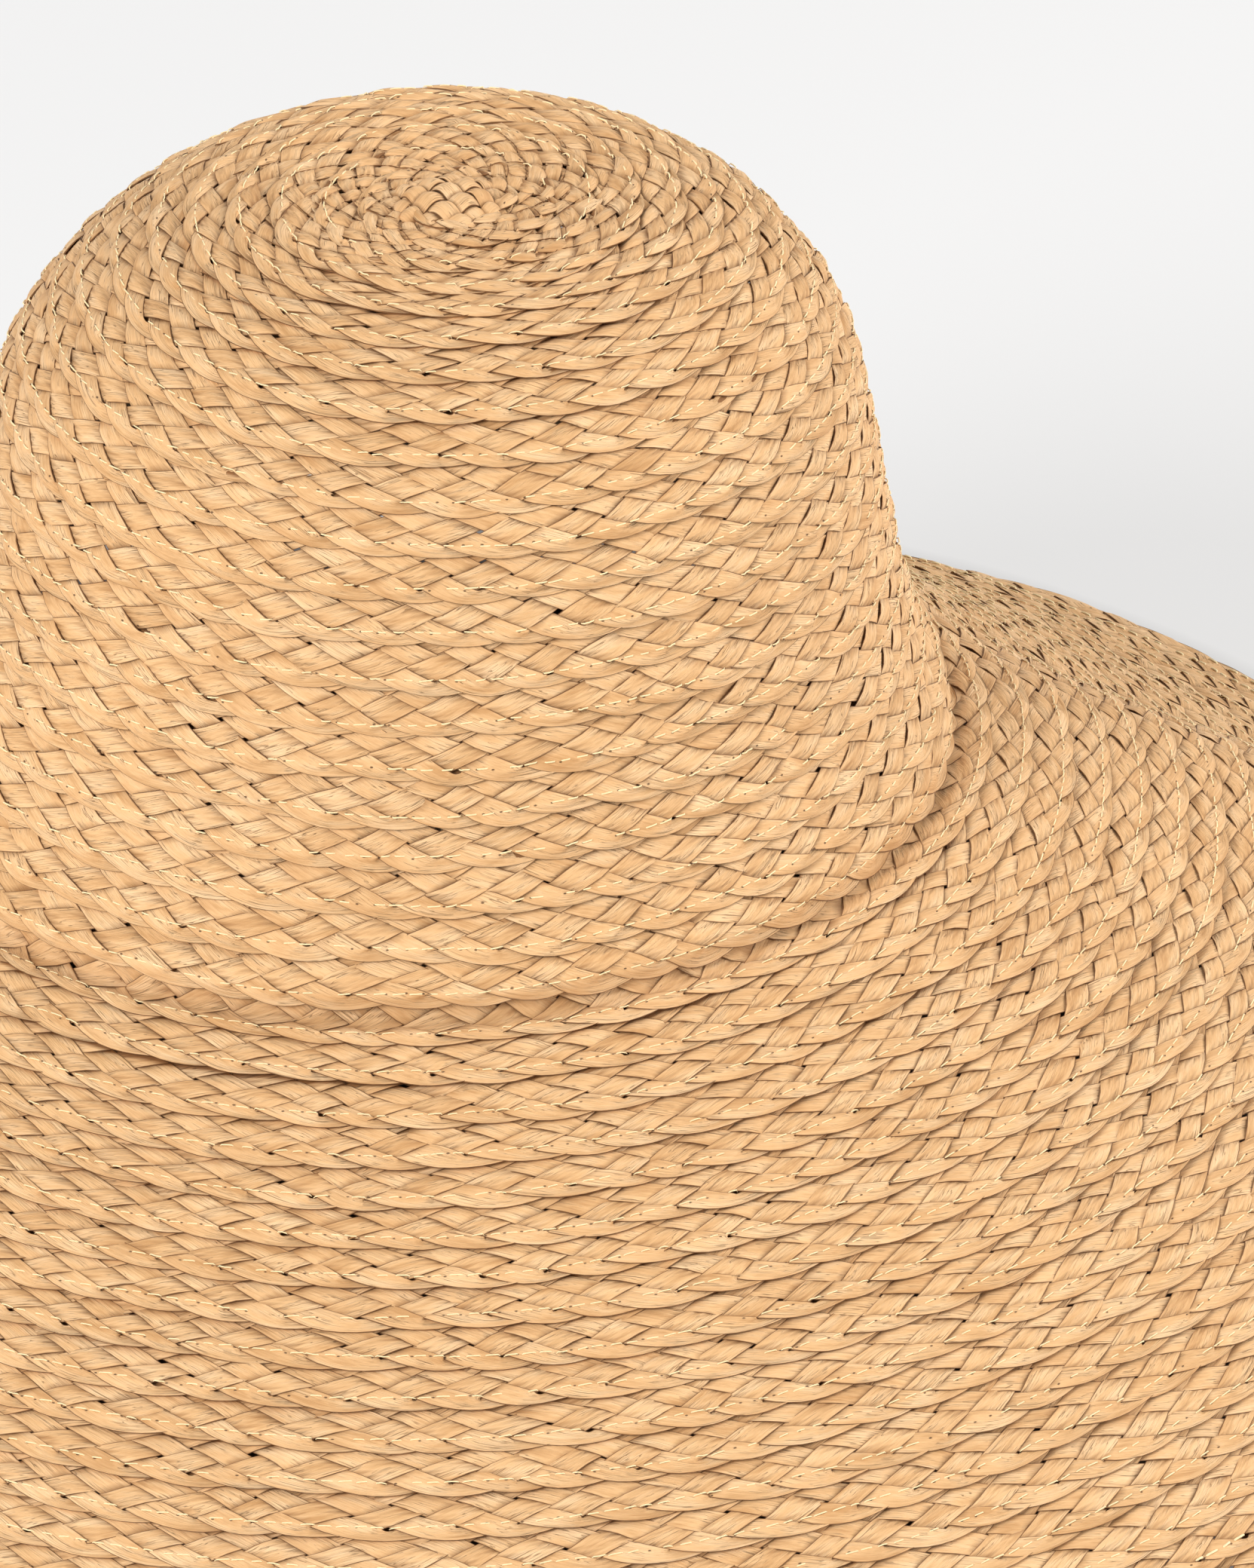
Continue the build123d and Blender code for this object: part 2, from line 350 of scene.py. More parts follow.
def mesh_piece(name, points, faces, material, values=(), crease_columns=(), around=0):
    """A piece from its points and groups of same-sized faces, with a vector at each
    point for each of the values, and smooth shading that breaks along the named columns
    of its rings."""
    mesh = bpy.data.meshes.new(name)
    corners = np.concatenate([group.ravel() for group in faces]).astype(np.int32)
    sizes = np.concatenate([np.full(len(group), group.shape[1]) for group in faces])
    starts = np.concatenate([[0], np.cumsum(sizes)[:-1]]).astype(np.int32)
    mesh.vertices.add(len(points))
    mesh.vertices.foreach_set("co", points.astype(np.float32).ravel())
    mesh.loops.add(len(corners))
    mesh.loops.foreach_set("vertex_index", corners)
    mesh.polygons.add(len(starts))
    mesh.polygons.foreach_set("loop_start", starts)
    for label, vectors in values:
        layer = mesh.attributes.new(label, "FLOAT_VECTOR", "POINT")
        layer.data.foreach_set("vector", vectors.astype(np.float32).ravel())
    mesh.update(calc_edges=True)
    if len(crease_columns):
        ends = np.empty(2 * len(mesh.edges), dtype=np.int32)
        mesh.edges.foreach_get("vertices", ends)
        columns = ends.reshape(-1, 2) % around
        sharp = (columns[:, 0] == columns[:, 1]) & np.isin(columns[:, 0], crease_columns)
        layer = mesh.attributes.new("sharp_edge", "BOOLEAN", "EDGE")
        layer.data.foreach_set("value", sharp)
    mesh.materials.append(material)
    piece = bpy.data.objects.new(name, mesh)
    bpy.context.scene.collection.objects.link(piece)
    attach(piece, "root")
    return piece


# The strands


def one_cycle():
    """Stations of a strand down and up once across the plait.  A station is a line
    across the strand from its low side to its high side, given as (along, level) of
    both ends; then its way (-1 falling, 1 rising), its level, the strand's length so
    far in levels, its edge (-1 low, 1 high, 0 between) and its place in the edge's
    bend (-1 to 1)."""
    n = STRANDS
    levels = 1 + np.arange((n - 2) * STATIONS_PER_LEVEL + 1) / STATIONS_PER_LEVEL
    bend = np.linspace(-1, 1, BEND_STATIONS + 1)[1:-1]
    rows = [
        ((n - y) / 2 - 0.5, y, (n - y) / 2 + 0.5, y, -1, y, n - 1 - y, 0, 0)
        for y in levels[::-1]
    ]
    rows += [(n / 2 + x, x * x, n / 2, 1, 0, 1, n - 1 + x, -1, x) for x in bend]
    rows += [
        ((n + y) / 2 + 0.5, y, (n + y) / 2 - 0.5, y, 1, y, n - 1 + y, 0, 0)
        for y in levels
    ]
    rows += [(n, n - 1, n + x, n - x * x, 0, n - 1, 2 * n - 1 + x, 1, x) for x in bend]
    return np.array(rows, dtype=float)


def strand(number):
    """Rings of one strand over the whole plait: each station's distance along, its
    ring's points, and the ring's material coordinates.  "straw" is (across, along,
    tint) on the strand, and "lay" is (along, across, shade) on the plait."""
    cycle = one_cycle()
    repeats = int(ALONG[-1] / STRANDS) + 3
    count = np.repeat(np.arange(repeats), len(cycle))
    rows = np.tile(cycle, (repeats, 1))
    rows[:, [0, 2]] += (number - STRANDS + STRANDS * count)[:, None]
    rows[:, 6] += 2 * STRANDS * count
    centre = (rows[:, 0] + rows[:, 2]) / 2
    inside = (centre >= 0) & (centre <= ALONG[-1])
    centre = centre[inside]
    low_x, low_y, high_x, high_y, way, level, path, edge, bend = rows[inside].T[:, :, None]
    at = path[:, 0]
    seed = 100 * (number + 1)

    turns = np.interp(centre, ALONG, TURNS)[:, None]
    crown = smooth((CROWN_PUFF_END - turns) / CROWN_PUFF_FADE)
    puff = 1 + CROWN_PUFF * crown + TIP_PUFF * hump(turns, 0, TIP_PUFF_SPAN)
    near_tip = hump(turns, 0, TIP_SPAN)
    swing = SWING * puff * uneven(at, SWING_WAVES, seed, 1)[:, None]
    width = uneven(at, WIDTH_WAVES, seed, STRAW_FILL) - TIP_NARROWING * near_tip[:, 0]
    drift = uneven(at, DRIFT_WAVES, seed)
    tilt = uneven(at + 0.5, TILT_WAVES, seed)[:, None]
    shape = uneven(at, BEND_SHAPE_WAVES, seed)[:, None]
    lean = uneven(at, BEND_LEAN_WAVES, seed, BEND_LEAN)[:, None]
    side = 2 * ACROSS[None, :]
    v = ACROSS[None, :] * width[:, None] + drift[:, None]

    # The bends' outer sides are uneven, and lean one way
    outline = (1 - bend**2) * (shape + lean * bend)
    low_y = low_y + np.where(edge < 0, outline, 0)
    high_y = high_y - np.where(edge > 0, outline, 0)
    along = high_x * (0.5 + v) + low_x * (0.5 - v)
    along = along + pull(along)
    up = EDGE_INSET + LEVEL * (high_y * (0.5 + v) + low_y * (0.5 - v))
    inner = np.sin(np.pi * np.clip(up / PLAIT_WIDTH, 0, 1))
    up = up + ROW_WAVE * inner * wander(along, ROW_WAVE_SPACING, ROW_WAVE_SEED)

    # Over and under the other strands, with the sides turned down
    curl = CURL * puff**2 * side**4 + TIP_CURL * near_tip * side**2
    crossing = np.clip(level - v, 1, STRANDS - 1)
    flat = way * np.cos(np.pi * crossing)
    dive = np.cos(np.pi * smooth((bend - DIVE_START) / DIVE_LENGTH))
    bent = dive * np.cos(np.pi * np.clip(edge * v, 0, 0.5))
    wave = np.where(edge == 0, flat, bent)
    outer = np.clip(0.5 + edge * v, 0, 1)
    hang = HANG * puff * outer**3 * smooth((bend - HANG_START) / HANG_GROWTH)
    hang = hang * smooth((1 - bend) / HANG_FADE)
    rise = wave * (swing - curl) - np.where(edge == 0, 0, hang)

    # Long pleats, deeper where the strand is gathered in a bend
    seeds = range(seed + PLEAT_SEED, seed + PLEAT_SEED + len(ACROSS))
    pleats = np.stack([wander(at, PLEAT_SPACING, own) for own in seeds], axis=1)
    gathered = np.where(edge == 0, 0, 1 - np.abs(bend))
    rise = rise + (PLEAT_DEPTH + BEND_PLEAT_DEPTH * gathered) * puff * pleats + tilt * v
    half = STRAW_THICKNESS / 2 * (1 - SIDE_THINNING * side**4)

    straw = np.stack(
        np.broadcast_arrays(
            ACROSS[None, :] * STRAND_WIDTH,
            path * STRAND_PER_LEVEL + STRAND_APART * number,
            uneven(at, TINT_WAVES, seed)[:, None],
        ),
        axis=-1,
    )
    height = np.where(edge == 0, wave, 1.0)
    dipped = np.clip(DIP_SHADE + TIP_SHADE * near_tip - height / DIP_FADE, 0, 1)
    distance = np.interp(along, ALONG, DISTANCE)
    arc = crowded_edge(np.interp(along, ALONG, TURNS)) - up
    crease = hump(arc - CROWN_ARC, *SHADED_CREASE)
    lay = np.stack([distance, up, dipped + CREASE_SHADE * crease], axis=-1)
    # The upper side is in deep shade where the turn above covers it
    cover = smooth((up - COVER_START) / COVER_FADE)[..., None]
    covered = lay + np.array([0, 0, COVER_SHADE]) * cover
    rings, coordinates, lays = [], [], []
    for face, where, order in ((-1, lay, slice(None)), (1, covered, slice(None, None, -1))):
        rings.append(on_plait(along, up, rise + face * half)[:, order])
        coordinates.append(straw[:, order])
        lays.append(where[:, order])
    return (
        centre,
        np.concatenate(rings, axis=1),
        np.concatenate(coordinates, axis=1),
        np.concatenate(lays, axis=1),
    )


def plait_piece(name, node, start, end, strands, material):
    """The stretch of all strands between two distances along the plait."""
    around = 2 * len(ACROSS)
    points, faces, coordinates, lays, first = [], [], [], [], 0
    for centre, rings, coordinate, lay in strands:
        low, high = np.searchsorted(centre, [start, end])
        high = min(high + 1, len(centre))
        points.append(rings[low:high].reshape(-1, 3))
        coordinates.append(coordinate[low:high].reshape(-1, 3))
        lays.append(lay[low:high].reshape(-1, 3))
        faces += tube_faces(high - low, around, first)
        first += (high - low) * around
    edges = (0, len(ACROSS) - 1, len(ACROSS), around - 1)
    values = [("straw", np.concatenate(coordinates)), ("lay", np.concatenate(lays))]
    piece = mesh_piece(name, np.concatenate(points), faces, material, values, edges, around)
    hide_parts(node)


def stitches(name, node, start, end, material, radius=STITCH_RADIUS):
    """Separate stitches along the plait's lower edge, lying on the straw, from one turn
    of the spiral to another."""
    rng = np.random.default_rng(int(start) + STITCH_SEED)
    first, last = np.interp([start, end], TURNS, DISTANCE)
    middle = np.arange(first, last - STITCH_PITCH, STITCH_PITCH) + STITCH_PITCH / 2
    middle = middle + rng.uniform(-STITCH_JITTER, STITCH_JITTER, len(middle))
    middle = middle[rng.random(len(middle)) > STITCHES_MISSING]
    length = STITCH_PITCH * rng.uniform(*STITCH_LENGTHS, len(middle))
    slant = rng.uniform(*STITCH_SLANTS, len(middle))
    scatter = rng.uniform(-STITCH_SCATTER, STITCH_SCATTER, len(middle))
    inset = uneven(middle, STITCH_WAVES, start=STITCH_INSET) + scatter
    offset = length[:, None] * STITCH_SHARES
    along = np.interp(middle[:, None] + offset, DISTANCE, ALONG)
    across = inset[:, None] + slant[:, None] * length[:, None] * STITCH_SHARES
    # A stitch follows the bend of the strand that it lies on
    leaf = along - pull(along)
    leaf = leaf - np.round(leaf)
    rise = SWING * np.cos(np.pi * np.clip(-leaf, 0, 0.5)) + STRAW_THICKNESS / 2
    rise = rise + STITCH_DIPS[None, :]
    section = radius * STITCH_SECTION[None, :, None]
    points = on_plait(
        along[..., None] + 0 * THREAD_SIDES,
        across[..., None] + section * np.cos(THREAD_SIDES),
        rise[..., None] + section * np.sin(THREAD_SIDES),
    ).reshape(-1, 3)
    stitch_piece(name, node, points, len(middle), material)


def stitch_piece(name, node, points, count, material):
    """One piece of many stitches, each a closed tube of as many rings as it has dips."""
    rings, around = len(STITCH_DIPS), len(THREAD_SIDES)
    one = tube_faces(rings, around, 0)
    firsts = np.arange(count)[:, None, None] * rings * around
    faces = [(group[None] + firsts).reshape(-1, group.shape[1]) for group in one]
    piece = mesh_piece(name, points, faces, material)
    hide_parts(node)


# Materials.  Colours are linear.

STRAW_DARK = (0.570, 0.310, 0.128, 1)
STRAW_MIDDLE = (0.750, 0.455, 0.218, 1)
STRAW_PALE = (0.845, 0.570, 0.318, 1)
STRAW_IN_SHADE = (0.20, 0.075, 0.018, 1)
# Painted contact shadow: a dark line along each strand's edges, where it meets its neighbours
EDGE_SHADOW = (0.12, 0.042, 0.010, 1)
EDGE_SHADOW_FROM, EDGE_SHADOW_TO = 0.462, 0.490  # over the strand's width, from its middle
STREAK = (0.40, 0.19, 0.065, 1)
SPLIT = (0.24, 0.10, 0.03, 1)
NEEDLE_HOLE = (0.08, 0.03, 0.01, 1)
NEEDLE_HOLES_MISSING = 0.45
THREAD_COLOURS = ((0.84, 0.63, 0.31, 1), (0.97, 0.83, 0.52, 1))
RIBBON_COLOURS = ((0.50, 0.36, 0.20, 1), (0.64, 0.49, 0.30, 1))
RIBBON_SHADE = (0.46, 0.32, 0.17, 1)
FLOOR_COLOUR = (0.42, 0.42, 0.42, 1)
# Painted shade under the hat and near its rim: the floor is dark there and does not glow
FLOOR_SHADE_UNDER_HAT = (0.14, 0.13, 0.12, 1)
UNDER_HAT = (0.215, 0.245)  # metres out to where the floor starts to pale, and is pale
FLOOR_GLOW = 0.39


class Nodes:
    """A material's node tree, with short ways to add and join nodes."""

    def __init__(self, name):
        self.material = bpy.data.materials.new(name)
        self.material.use_nodes = True
        self.tree = self.material.node_tree
        self.shader = self.tree.nodes["Principled BSDF"]

    def add(self, kind, inputs=(), **settings):
        node = self.tree.nodes.new("ShaderNode" + kind)
        for key, value in settings.items():
            setattr(node, key, value)
        for key, value in dict(inputs).items():
            self.set(node.inputs[key], value)
        return node

    def set(self, socket, value):
        if isinstance(value, bpy.types.NodeSocket):
            self.tree.links.new(value, socket)
        else:
            socket.default_value = value

    def math(self, operation, a, b=0.0, c=0.0, clamp=False):
        node = self.add("Math", operation=operation, use_clamp=clamp)
        for socket, value in zip(node.inputs, (a, b, c)):
            self.set(socket, value)
        return node.outputs[0]

    def mix(self, share, a, b):
        node = self.add("Mix", data_type="RGBA")
        self.set(node.inputs["Factor"], share)
        self.set(node.inputs[6], a)
        self.set(node.inputs[7], b)
        return node.outputs[2]

    def spread(self, value, low, high, to_low=0.0, to_high=1.0):
        inputs = {"Value": value, "From Min": low, "From Max": high}
        node = self.add("MapRange", inputs, clamp=True)
        node.inputs["To Min"].default_value = to_low
        node.inputs["To Max"].default_value = to_high
        return node.outputs[0]

    def noise(self, vector, scale, detail, roughness=0.55):
        inputs = {"Vector": vector, "Scale": scale, "Detail": detail, "Roughness": roughness}
        return self.add("TexNoise", inputs).outputs["Fac"]

    def scaled(self, vector, scale):
        node = self.add("VectorMath", operation="MULTIPLY")
        self.set(node.inputs[0], vector)
        node.inputs[1].default_value = scale
        return node.outputs[0]


def straw_material():
    """Split straw: fine fibres and pleats along each strand, tints that change from
    strand to strand, painted contact shadow as a dark line along each strand's
    edges, shade where a strand dips or is covered, and needle holes beside the
    stitches."""
    n = Nodes("natural_straw")
    straw = n.add("Attribute", attribute_name="straw").outputs["Vector"]
    lay = n.add("Attribute", attribute_name="lay").outputs["Vector"]
    parts = n.add("SeparateXYZ", {"Vector": straw}).outputs
    laid = n.add("SeparateXYZ", {"Vector": lay}).outputs
    across, tint = parts["X"], parts["Z"]

    fibres = n.noise(n.scaled(straw, (3.6, 0.16, 0)), 1.0, 4, 0.6)
    hairs = n.noise(n.scaled(straw, (10.0, 0.35, 0)), 1.0, 2, 0.5)
    pleats = n.noise(n.scaled(straw, (1.5, 0.09, 0)), 1.0, 2, 0.5)
    blotches = n.noise(n.scaled(straw, (0.35, 0.11, 0)), 1.0, 3, 0.6)

    tone = n.math("MULTIPLY_ADD", tint, 0.30, n.spread(blotches, 0.25, 0.75))
    tone = n.math("SUBTRACT", tone, 0.17)
    tone = n.math("MULTIPLY_ADD", n.spread(fibres, 0.3, 0.7), 0.35, tone)
    ramp = n.add("ValToRGB", {"Fac": tone})
    ramp.color_ramp.elements[0].color = STRAW_DARK
    ramp.color_ramp.elements[1].color = STRAW_PALE
    ramp.color_ramp.elements.new(0.45).color = STRAW_MIDDLE
    colour = ramp.outputs["Color"]

    shade = n.math("MULTIPLY", laid["Z"], 0.75, clamp=True)
    colour = n.mix(shade, colour, STRAW_IN_SHADE)
    # Painted contact shadow: a dark line along each strand's edges
    sides = STRAND_WIDTH * EDGE_SHADOW_FROM, STRAND_WIDTH * EDGE_SHADOW_TO
    edge_shadow = n.spread(n.math("ABSOLUTE", across), *sides)
    colour = n.mix(n.math("MULTIPLY", edge_shadow, 0.9), colour, EDGE_SHADOW)
    streak = n.spread(pleats, 0.62, 0.70)
    colour = n.mix(n.math("MULTIPLY", streak, 0.30), colour, STREAK)
    lines = n.noise(n.scaled(straw, (2.4, 0.085, 0)), 1.0, 1, 0.5)
    split = n.spread(n.math("ABSOLUTE", n.math("SUBTRACT", lines, 0.5)), 0.014, 0.0)
    split = n.math("MULTIPLY", split, n.spread(blotches, 0.46, 0.56))
    colour = n.mix(n.math("MULTIPLY", split, 0.65), colour, SPLIT)

    # Needle holes: the chance of one small oval in every needle pitch
    gap = n.math("MODULO", laid["X"], NEEDLE_PITCH)
    number = n.math("FLOOR", n.math("DIVIDE", laid["X"], NEEDLE_PITCH))
    chance = n.add("TexWhiteNoise", {"W": number}, noise_dimensions="1D").outputs["Value"]
    dx = n.math("SUBTRACT", gap, n.math("MULTIPLY_ADD", chance, 1.4, 0.8))
    beside = n.math("MULTIPLY_ADD", chance, 0.5, STITCH_INSET - 0.45)
    dy = n.math("SUBTRACT", laid["Y"], beside)
    flattened = n.math("MULTIPLY", n.math("MULTIPLY", dy, dy), 3.5)
    squares = n.math("ADD", n.math("MULTIPLY", dx, dx), flattened)
    outline = n.math("MULTIPLY_ADD", chance, 0.10, 0.03)
    hole = n.math("SUBTRACT", 1.0, n.spread(squares, 0.02, outline))
    hole = n.math("MULTIPLY", hole, n.math("GREATER_THAN", chance, NEEDLE_HOLES_MISSING))
    colour = n.mix(n.math("MULTIPLY", hole, 0.85), colour, NEEDLE_HOLE)
    n.set(n.shader.inputs["Base Color"], colour)

    relief = n.math("MULTIPLY_ADD", pleats, 1.3, n.math("MULTIPLY", fibres, 0.6))
    relief = n.math("MULTIPLY_ADD", hairs, 0.5, relief)
    relief = n.math("SUBTRACT", relief, n.math("ADD", hole, split))
    bump = n.add("Bump", {"Strength": 0.85, "Distance": 0.00024, "Height": relief})
    n.set(n.shader.inputs["Normal"], bump.outputs["Normal"])
    n.set(n.shader.inputs["Roughness"], n.spread(fibres, 0.3, 0.7, 0.50, 0.68))
    n.shader.inputs["Specular IOR Level"].default_value = 0.22
    n.shader.inputs["Sheen Weight"].default_value = 0.04
    return n.material


def thread_material():
    """Cotton sewing thread, with its twist as fine bumps."""
    n = Nodes("pale_yellow_thread")
    where = n.add("TexCoord").outputs["Object"]
    twist = n.noise(where, 2600, 1)
    n.set(n.shader.inputs["Base Color"], n.mix(twist, *THREAD_COLOURS))
    bump = n.add("Bump", {"Strength": 0.5, "Distance": 0.00005, "Height": twist})
    n.set(n.shader.inputs["Normal"], bump.outputs["Normal"])
    n.shader.inputs["Roughness"].default_value = 0.6
    n.shader.inputs["Sheen Weight"].default_value = 0.15
    return n.material


def ribbon_material():
    """Ribbed cotton ribbon: the ribs are in the mesh, the weave across them is here."""
    n = Nodes("ribbed_ribbon")
    where = n.add("TexCoord").outputs["Object"]
    weave = n.noise(n.scaled(where, (1, 1, 2.5)), 1500, 2)
    shade = n.noise(where, 60, 2)
    colour = n.mix(weave, *RIBBON_COLOURS)
    colour = n.mix(n.spread(shade, 0.4, 0.7, 0, 0.25), colour, RIBBON_SHADE)
    n.set(n.shader.inputs["Base Color"], colour)
    bump = n.add("Bump", {"Strength": 0.5, "Distance": 0.00008, "Height": weave})
    n.set(n.shader.inputs["Normal"], bump.outputs["Normal"])
    n.shader.inputs["Roughness"].default_value = 0.75
    n.shader.inputs["Sheen Weight"].default_value = 0.2
    return n.material


def floor_material():
    """A plain pale sheet, lit a little from below like a light table, with painted
    shade under the hat, where it is dark and does not glow."""
    n = Nodes("pale_floor")
    where = n.add("TexCoord").outputs["Object"]
    out = n.add("VectorMath", {0: where}, operation="LENGTH").outputs["Value"]
    # Painted shade: dark and not glowing under the hat, pale and glowing further out
    outside = n.spread(out, *UNDER_HAT)
    n.set(n.shader.inputs["Base Color"], n.mix(outside, FLOOR_SHADE_UNDER_HAT, FLOOR_COLOUR))
    n.shader.inputs["Roughness"].default_value = 0.9
    n.shader.inputs["Specular IOR Level"].default_value = 0.1
    n.shader.inputs["Emission Color"].default_value = (1.0, 1.0, 1.0, 1)
    n.set(n.shader.inputs["Emission Strength"], n.math("MULTIPLY", outside, FLOOR_GLOW))
    return n.material


# The crown's tip, where the plait's folded start makes a small woven button

TIP_PITCH = 4.5
TIP_REACH = 10.6
TIP_SHORTEST, TIP_SPREAD = 0.96, 0.08  # how much the strands' reach varies
TIP_ROUNDING = 0.04  # how much shorter the outer strands are
TIP_TINT = 0.5
TIP_SWING = 0.8
TIP_GATHERING = 0.36  # how much closer together the strands' ends are
TIP_FILL = 0.86
TIP_END_NARROWING = 0.35
TIP_TUCK, TIP_TUCK_START = 1.0, 0.6  # how deep and from where the ends are tucked down
TIP_DOME, TIP_DOME_FALL = 0.8, 0.028
TIP_RIPPLE = 0.05
TIP_SIDE_CURL = 0.6
TIP_SIDE_THINNING = 0.5
TIP_DIP_SHADE = 0.75
TIP_HEADING = math.radians(41)
TIP_STATIONS = 49
TIP_SEED = 3
TIP_STRAND_APART = 100


def tip_button(material):
    """Five strands over and under five others, with their ends tucked down."""
    rng = np.random.default_rng(TIP_SEED)
    steps = np.linspace(-1, 1, TIP_STATIONS)
    points, faces, coordinates, lays, first = [], [], [], [], 0
    around = 2 * len(ACROSS)
    for heading in (0, 1):
        for lane in (-2, -1, 0, 1, 2):
            reach = TIP_REACH * (TIP_SHORTEST + TIP_SPREAD * rng.random())
            reach = reach * (1 - TIP_ROUNDING * lane**2)
            run = (steps * reach)[:, None]
            sway = lane * TIP_PITCH * (1 - TIP_GATHERING * steps[:, None] ** 2)
            pitch = TIP_PITCH * (1 - TIP_GATHERING * (sway / TIP_REACH) ** 2)
            narrow = 1 - TIP_END_NARROWING * np.abs(steps[:, None]) ** 3
            side = sway + ACROSS[None, :] * TIP_PITCH * TIP_FILL * narrow
            sign = 1 if (heading + lane) % 2 else -1
            wave = sign * np.cos(np.pi * np.clip(run / pitch, -2.5, 2.5)) * TIP_SWING
            tucked = (np.abs(steps[:, None]) - TIP_TUCK_START) / (1 - TIP_TUCK_START)
            dome = TIP_DOME - TIP_DOME_FALL * (run**2 + side**2)
            ripple = TIP_RIPPLE * rng.uniform(-1, 1, (1, len(ACROSS)))
            ripple = ripple - TIP_SIDE_CURL * (2 * ACROSS[None, :]) ** 2
            height = dome + wave - TIP_TUCK * smooth(tucked) + ripple
            half = STRAW_THICKNESS / 2 * (1 - TIP_SIDE_THINNING * (2 * ACROSS[None, :]) ** 4)
            rings = []
            for thick in (half, -half):
                x, y = np.broadcast_arrays(run, side)
                if heading:
                    x, y = y, x
                ring = np.stack(np.broadcast_arrays(x, y, height + thick), axis=-1)
                rings.append(ring if thick is half else ring[:, ::-1])
            ring = np.concatenate(rings, axis=1)
            if heading:
                ring = ring[:, ::-1]
            points.append(ring.reshape(-1, 3))
            v = np.concatenate([ACROSS, ACROSS[::-1]])[None, :] * STRAND_WIDTH
            path = run + TIP_STRAND_APART * len(points)
            tint = np.full_like(path, rng.uniform(-TIP_TINT, TIP_TINT))
            value = np.stack(np.broadcast_arrays(v, path, tint), axis=-1)
            coordinates.append(value.reshape(-1, 3))
            dipped = np.clip(TIP_DIP_SHADE - wave / TIP_SWING / DIP_FADE, 0, 1)
            lay = np.stack(np.broadcast_arrays(0 * v, 0 * v, dipped), axis=-1)
            lays.append(lay.reshape(-1, 3))
            faces += tube_faces(len(steps), around, first)
            first += len(steps) * around
    flat = np.concatenate(points)
    cosine, sine = math.cos(TIP_HEADING), math.sin(TIP_HEADING)
    x = flat[:, 0] * cosine - flat[:, 1] * sine
    y = flat[:, 0] * sine + flat[:, 1] * cosine
    flat = np.stack([x + LEAN_X, y + LEAN_Y, flat[:, 2] + CROWN_HEIGHT], axis=-1) * MM
    values = [("straw", np.concatenate(coordinates)), ("lay", np.concatenate(lays))]
    edges = (0, len(ACROSS) - 1, len(ACROSS), around - 1)
    piece = mesh_piece("tip_button", flat, faces, material, values, edges, around)
    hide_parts("crown_tip")


# The sweatband inside the head opening

BAND_LIFT = -(
    (PLAIT_THICKNESS + LAP_GAP) * PLAIT_WIDTH / PLAIT_STEP + PLAIT_THICKNESS + BAND_CLEARANCE
)
BAND_ARCS = (CROWN_ARC - BAND_HEM_ARC - BAND_HEIGHT, CROWN_ARC - BAND_HEM_ARC)
RIB_SWEEP = 0.6  # degrees from rib to rib
RIB_DEPTH = 0.09
POINTS_PER_RIB = 3


def ribbon(name, node, arcs, lift, thickness, start, end, material):
    """A ribbed ribbon that lines the wall between two arcs and two azimuths."""
    rows = np.linspace(*arcs, BAND_ROWS)
    turns = np.linspace(start, end, round((end - start) / RIB_SWEEP) * POINTS_PER_RIB + 1)
    rib = RIB_DEPTH * np.cos(2 * np.pi * turns / RIB_SWEEP)[:, None]
    rolled = BAND_ROLL * (np.abs(np.linspace(-1, 1, BAND_ROWS)) ** 8)[None, :] * thickness
    outer = place(rows[None, :], turns[:, None], lift - rolled + 0 * rib)
    inner = place(rows[None, :], turns[:, None], lift - thickness + rolled + rib)
    rings = np.concatenate([outer, inner[:, ::-1]], axis=1)
    faces = tube_faces(len(turns), rings.shape[1], 0)
    piece = mesh_piece(name, rings.reshape(-1, 3), faces, material)
    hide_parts(node)
    return piece


def band_stitches(material):
    """Stitches along the sweatband's lower edge, either side of the tape."""
    arc = BAND_ARCS[1] - BAND_STITCH_INSET
    lift = BAND_LIFT - BAND_THICKNESS + BAND_STITCH_DIPS[None, :, None]
    start = SPIRAL_START + TAPE_SWEEP / 2 + BAND_END_GAP
    pitch = (360 - TAPE_SWEEP - 2 * BAND_END_GAP) / BAND_STITCH_COUNT
    middle = start + pitch * (np.arange(BAND_STITCH_COUNT) + 0.5)
    turns = (middle[:, None] + pitch * BAND_STITCH_SHARES)[..., None] + 0 * THREAD_SIDES
    arcs = arc + STITCH_RADIUS * np.cos(THREAD_SIDES) + 0 * turns
    lifts = lift + STITCH_RADIUS * np.sin(THREAD_SIDES) + 0 * turns
    points = place(arcs, turns, lifts).reshape(-1, 3)
    node = "sweatband_thread"
    stitch_piece("sweatband_stitches", node, points, BAND_STITCH_COUNT, material)


# The camera, the light and the floor

AIM = Vector((0.0414, 0.0, -0.0164))
CAMERA_DISTANCE = 1.7546
CAMERA_ELEVATION = math.radians(30.48)
CAMERA_LENS = 222.0
SENSOR = 36.0
# Each light's name, place, size, power and colour
LIGHTS = (
    ("key", (-1.5, -1.85, 1.48), 1.2, 66, (1.0, 0.99, 0.985)),
    ("fill", (2.5, -0.4, 0.85), 1.6, 32, (1.0, 0.985, 0.96)),
    ("edge", (2.3, 1.0, 1.2), 1.6, 36, (1.0, 0.975, 0.94)),
)
AMBIENT = 0.55
FLOOR_REACH = 12.0
FLOOR_GAP = 0.0008


def camera():
    data = bpy.data.cameras.new("camera")
    data.lens, data.sensor_width = CAMERA_LENS, SENSOR
    data.clip_start, data.clip_end = 0.05, 50
    eye = bpy.data.objects.new("camera", data)
    back = Vector((0, -math.cos(CAMERA_ELEVATION), math.sin(CAMERA_ELEVATION)))
    eye.location = AIM + back * CAMERA_DISTANCE
    eye.rotation_euler = (math.pi / 2 - CAMERA_ELEVATION, 0, 0)
    bpy.context.scene.collection.objects.link(eye)
    bpy.context.scene.camera = eye


